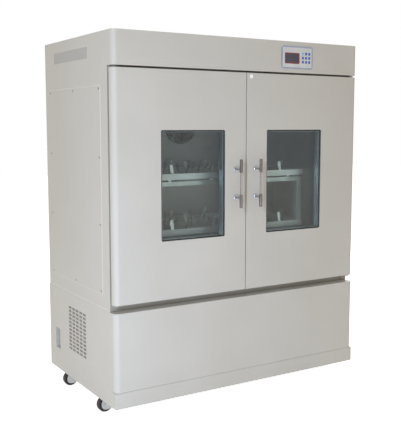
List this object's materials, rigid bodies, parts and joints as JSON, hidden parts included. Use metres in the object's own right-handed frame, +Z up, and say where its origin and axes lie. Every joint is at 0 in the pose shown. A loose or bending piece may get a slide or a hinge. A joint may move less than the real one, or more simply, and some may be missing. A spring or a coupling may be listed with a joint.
{
  "type": "shaking incubator",
  "caption": "Floor-standing shaking incubator: insulated double-door glazed cabinet with an orbiting flask platform inside, a control bezel, side vents and swivel casters.",
  "frame": {"origin": "on the floor, under the middle of the outline that the cabinet and its door handles make", "axes": "+Z up, -Y out of the doors, +X to the right for someone who faces the doors"},
  "size_m": [1.2, 0.7322, 1.498],
  "materials": {
    "cabinet_paint": "warm light grey satin enamel",
    "galvanised": "zinc-plated folded sheet",
    "stainless": "brushed stainless sheet",
    "spring_steel": "polished spring steel",
    "foam": null,
    "window_glass": "clear insulating glass",
    "seal_rubber": "soft black seal",
    "belt_rubber": "moulded belt rubber",
    "handle_metal": "brushed sleeves with bright posts",
    "lock_metal": "bright plated",
    "bezel_plastic": "pale moulded face",
    "display_glass": "dark glossy window",
    "key_blue": "blue moulded cap",
    "key_cyan": "light cyan moulded cap",
    "pocket_plastic": "pale grey grained moulding",
    "switch_black": "glossy black moulding",
    "frame_steel": "dark grey powder coat",
    "machined_steel": "turned and ground steel",
    "platform_metal": "satin aluminium section",
    "pulley_metal": "turned aluminium",
    "coil_metal": "finned aluminium",
    "fan_plastic": "black moulded blades",
    "motor_housing": "dark cast housing",
    "caster_metal": "pale pressed and plated steel",
    "caster_tyre": "black tyre on a black hub"
  },
  "bodies": {
    "cabinet": {"base_pan": "galvanised", "base_shell": "cabinet_paint", "lower_front_panel": "cabinet_paint", "power_pocket": "pocket_plastic", "service_covers": "cabinet_paint", "panel_screws": "stainless", "head_cover": "cabinet_paint", "rear_sheet": "galvanised", "insulation": "foam", "chamber_liner": "stainless", "door_frame": "cabinet_paint", "duct_panel": "stainless", "air_handler": "coil_metal", "condensing_unit": "coil_metal", "drive_frame": "frame_steel", "drive_motor": "motor_housing", "drive_belt": "belt_rubber", "hinge_brackets": "cabinet_paint", "control_bezel": "bezel_plastic", "display_window": "display_glass", "side_sheet_left": "cabinet_paint", "side_sheet_right": "cabinet_paint"},
    "left_door": {"left_door_shell": "cabinet_paint", "left_door_liner": "stainless", "left_door_glazing": "window_glass", "left_door_gasket": "seal_rubber", "left_door_handle": "handle_metal"},
    "right_door": {"right_door_shell": "cabinet_paint", "right_door_liner": "stainless", "right_door_glazing": "window_glass", "right_door_gasket": "seal_rubber", "right_door_handle": "handle_metal"},
    "door_lock": {"door_lock": "lock_metal"},
    "key_1_1": {"key_1_1": "key_blue"},
    "key_1_2": {"key_1_2": "key_blue"},
    "key_1_3": {"key_1_3": "key_cyan"},
    "key_2_1": {"key_2_1": "key_blue"},
    "key_2_2": {"key_2_2": "key_blue"},
    "key_2_3": {"key_2_3": "key_blue"},
    "key_3_1": {"key_3_1": "key_blue"},
    "key_3_2": {"key_3_2": "key_blue"},
    "key_3_3": {"key_3_3": "key_blue"},
    "crank_main": {"crank_main": "machined_steel"},
    "platform": {"swing_frame": "platform_metal", "trays": "stainless", "flask_clamps": "spring_steel"},
    "idler_crank_left": {"idler_crank_left": "machined_steel"},
    "idler_crank_right": {"idler_crank_right": "machined_steel"},
    "motor_pulley": {"motor_pulley": "pulley_metal"},
    "circulation_fan": {"circulation_fan": "fan_plastic"},
    "condenser_fan": {"condenser_fan": "fan_plastic"},
    "power_rocker": {"power_rocker": "switch_black"},
    "caster_fork_left_front": {"caster_fork_left_front": "caster_metal"},
    "caster_wheel_left_front": {"caster_wheel_left_front": "caster_tyre"},
    "caster_fork_left_rear": {"caster_fork_left_rear": "caster_metal"},
    "caster_wheel_left_rear": {"caster_wheel_left_rear": "caster_tyre"},
    "caster_fork_right_front": {"caster_fork_right_front": "caster_metal"},
    "caster_wheel_right_front": {"caster_wheel_right_front": "caster_tyre"},
    "caster_fork_right_rear": {"caster_fork_right_rear": "caster_metal"},
    "caster_wheel_right_rear": {"caster_wheel_right_rear": "caster_tyre"}
  },
  "joints": [
    {"name": "left_door_hinge", "type": "hinge", "parent": "cabinet", "child": "left_door", "pos_m": [-0.578, -0.30188, 0.47], "axis": [0, 0, 1], "range_deg": [-110, 0]},
    {"name": "right_door_hinge", "type": "hinge", "parent": "cabinet", "child": "right_door", "pos_m": [0.578, -0.30188, 0.47], "axis": [0, 0, 1], "range_deg": [0, 110]},
    {"name": "lock_turn", "type": "hinge", "parent": "right_door", "child": "door_lock", "pos_m": [0.0216, -0.32388, 1.347], "axis": [0, -1, 0], "range_deg": [0, 90]},
    {"name": "key_1_1_press", "type": "slide", "parent": "cabinet", "child": "key_1_1", "axis": [0, 1, 0], "range_m": [0, 0.0008], "stiffness_N_per_m": 600, "springref_m": -0.001},
    {"name": "key_1_2_press", "type": "slide", "parent": "cabinet", "child": "key_1_2", "axis": [0, 1, 0], "range_m": [0, 0.0008], "stiffness_N_per_m": 600, "springref_m": -0.001},
    {"name": "key_1_3_press", "type": "slide", "parent": "cabinet", "child": "key_1_3", "axis": [0, 1, 0], "range_m": [0, 0.0008], "stiffness_N_per_m": 600, "springref_m": -0.001},
    {"name": "key_2_1_press", "type": "slide", "parent": "cabinet", "child": "key_2_1", "axis": [0, 1, 0], "range_m": [0, 0.0008], "stiffness_N_per_m": 600, "springref_m": -0.001},
    {"name": "key_2_2_press", "type": "slide", "parent": "cabinet", "child": "key_2_2", "axis": [0, 1, 0], "range_m": [0, 0.0008], "stiffness_N_per_m": 600, "springref_m": -0.001},
    {"name": "key_2_3_press", "type": "slide", "parent": "cabinet", "child": "key_2_3", "axis": [0, 1, 0], "range_m": [0, 0.0008], "stiffness_N_per_m": 600, "springref_m": -0.001},
    {"name": "key_3_1_press", "type": "slide", "parent": "cabinet", "child": "key_3_1", "axis": [0, 1, 0], "range_m": [0, 0.0008], "stiffness_N_per_m": 600, "springref_m": -0.001},
    {"name": "key_3_2_press", "type": "slide", "parent": "cabinet", "child": "key_3_2", "axis": [0, 1, 0], "range_m": [0, 0.0008], "stiffness_N_per_m": 600, "springref_m": -0.001},
    {"name": "key_3_3_press", "type": "slide", "parent": "cabinet", "child": "key_3_3", "axis": [0, 1, 0], "range_m": [0, 0.0008], "stiffness_N_per_m": 600, "springref_m": -0.001},
    {"name": "crank_spin", "type": "hinge", "parent": "cabinet", "child": "crank_main", "pos_m": [0, -0.03388, 0.625], "axis": [0, 0, 1], "continuous": true},
    {"name": "platform_bearing", "type": "hinge", "parent": "crank_main", "child": "platform", "pos_m": [0, -0.02088, 0.655], "axis": [0, 0, 1], "continuous": true},
    {"name": "idler_left_spin", "type": "hinge", "parent": "cabinet", "child": "idler_crank_left", "pos_m": [-0.24, -0.14388, 0.625], "axis": [0, 0, 1], "continuous": true},
    {"name": "idler_right_spin", "type": "hinge", "parent": "cabinet", "child": "idler_crank_right", "pos_m": [0.24, -0.14388, 0.625], "axis": [0, 0, 1], "continuous": true},
    {"name": "motor_spin", "type": "hinge", "parent": "cabinet", "child": "motor_pulley", "pos_m": [0.2, -0.03388, 0.566], "axis": [0, 0, 1], "continuous": true},
    {"name": "circulation_fan_spin", "type": "hinge", "parent": "cabinet", "child": "circulation_fan", "pos_m": [0, 0.23333, 1.15], "axis": [0, 1, 0], "continuous": true},
    {"name": "condenser_fan_spin", "type": "hinge", "parent": "cabinet", "child": "condenser_fan", "pos_m": [-0.5145, 0.04662, 0.221], "axis": [1, 0, 0], "continuous": true},
    {"name": "power_rocker_tilt", "type": "hinge", "parent": "cabinet", "child": "power_rocker", "pos_m": [-0.5575, 0.27113, 0.229], "axis": [0, 1, 0], "range_deg": [-16, 0]},
    {"name": "caster_swivel_left_front", "type": "hinge", "parent": "cabinet", "child": "caster_fork_left_front", "pos_m": [-0.546, -0.14888, 0.08], "axis": [0, 0, 1], "continuous": true},
    {"name": "caster_roll_left_front", "type": "hinge", "parent": "caster_fork_left_front", "child": "caster_wheel_left_front", "pos_m": [-0.568, -0.14888, 0.0315], "axis": [0, 1, 0], "continuous": true},
    {"name": "caster_swivel_left_rear", "type": "hinge", "parent": "cabinet", "child": "caster_fork_left_rear", "pos_m": [-0.546, 0.21813, 0.08], "axis": [0, 0, 1], "continuous": true},
    {"name": "caster_roll_left_rear", "type": "hinge", "parent": "caster_fork_left_rear", "child": "caster_wheel_left_rear", "pos_m": [-0.568, 0.21813, 0.0315], "axis": [0, 1, 0], "continuous": true},
    {"name": "caster_swivel_right_front", "type": "hinge", "parent": "cabinet", "child": "caster_fork_right_front", "pos_m": [0.546, -0.14888, 0.08], "axis": [0, 0, 1], "continuous": true},
    {"name": "caster_roll_right_front", "type": "hinge", "parent": "caster_fork_right_front", "child": "caster_wheel_right_front", "pos_m": [0.568, -0.14888, 0.0315], "axis": [0, 1, 0], "continuous": true},
    {"name": "caster_swivel_right_rear", "type": "hinge", "parent": "cabinet", "child": "caster_fork_right_rear", "pos_m": [0.546, 0.21813, 0.08], "axis": [0, 0, 1], "continuous": true},
    {"name": "caster_roll_right_rear", "type": "hinge", "parent": "caster_fork_right_rear", "child": "caster_wheel_right_rear", "pos_m": [0.568, 0.21813, 0.0315], "axis": [0, 1, 0], "continuous": true}
  ],
  "couplings": [
    {"joint": "platform_bearing", "follows": "crank_spin", "ratio": -1},
    {"joint": "idler_left_spin", "follows": "crank_spin", "ratio": 1},
    {"joint": "idler_right_spin", "follows": "crank_spin", "ratio": 1},
    {"joint": "motor_spin", "follows": "crank_spin", "ratio": 3}
  ]
}
